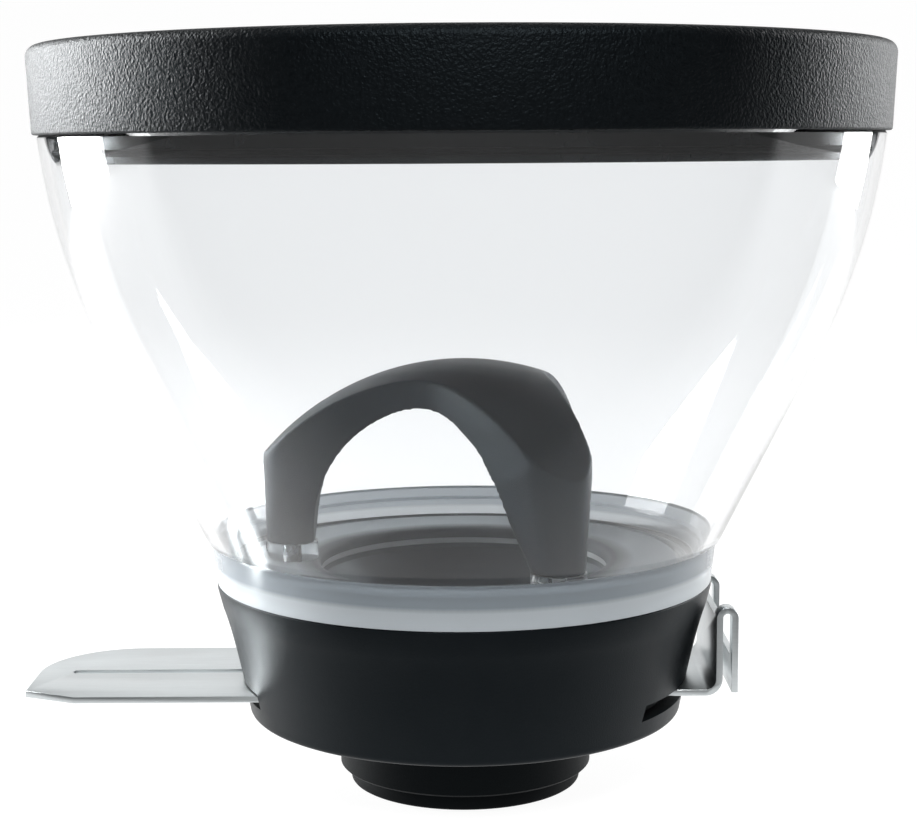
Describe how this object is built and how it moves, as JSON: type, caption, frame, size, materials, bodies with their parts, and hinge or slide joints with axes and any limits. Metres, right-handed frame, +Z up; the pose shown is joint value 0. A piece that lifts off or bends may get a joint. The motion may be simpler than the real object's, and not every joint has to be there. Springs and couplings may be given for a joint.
{
  "type": "coffee grinder bean hopper",
  "caption": "Clear bean hopper for a coffee grinder, with a lift-off lid, a finger guard, a black collar and neck, and a sliding steel shut-off gate.",
  "frame": {"origin": "centre of the neck's lower end, on the hopper's axis", "axes": "+Z runs up the hopper's axis, +X runs along the gate towards its pull hook, and -Y faces the viewer"},
  "size_m": [0.214, 0.21, 0.1846],
  "materials": {
    "lid_black": "fine moulded grain",
    "plug_black": "smooth",
    "seal_rubber": "satin",
    "clear_bowl": "clear and polished",
    "guard_grey": "satin",
    "collar_black": "fine satin grain",
    "funnel_black": "satin",
    "gasket_white": "satin",
    "screw_steel": "machined",
    "plate_steel": "brushed",
    "rail_black": "satin",
    "gate_steel": "brushed",
    "neck_black": "satin",
    "tip_rubber": "satin"
  },
  "bodies": {
    "hopper": {"bowl": "clear_bowl", "guard": "guard_grey", "collar": "collar_black", "funnel": "funnel_black", "funnel_gasket": "gasket_white", "long_screws": "screw_steel", "long_washers": "screw_steel", "guide_plate": "plate_steel", "rail_front": "rail_black", "rail_rear": "rail_black", "stop_pin": "screw_steel", "neck": "neck_black", "neck_seal": "tip_rubber", "stack_screws": "screw_steel", "stack_washers": "screw_steel", "stack_nuts": "screw_steel"},
    "gate": {"gate": "gate_steel"},
    "lid": {"lid_cap": "lid_black", "lid_plug": "plug_black", "lid_seal": "seal_rubber"}
  },
  "joints": [
    {"name": "gate_slide", "type": "slide", "parent": "hopper", "child": "gate", "axis": [1, 0, 0], "range_m": [0, 0.053]},
    {"name": "lid_lift", "type": "slide", "parent": "hopper", "child": "lid", "axis": [0, 0, 1], "range_m": [0, 0.04]}
  ]
}
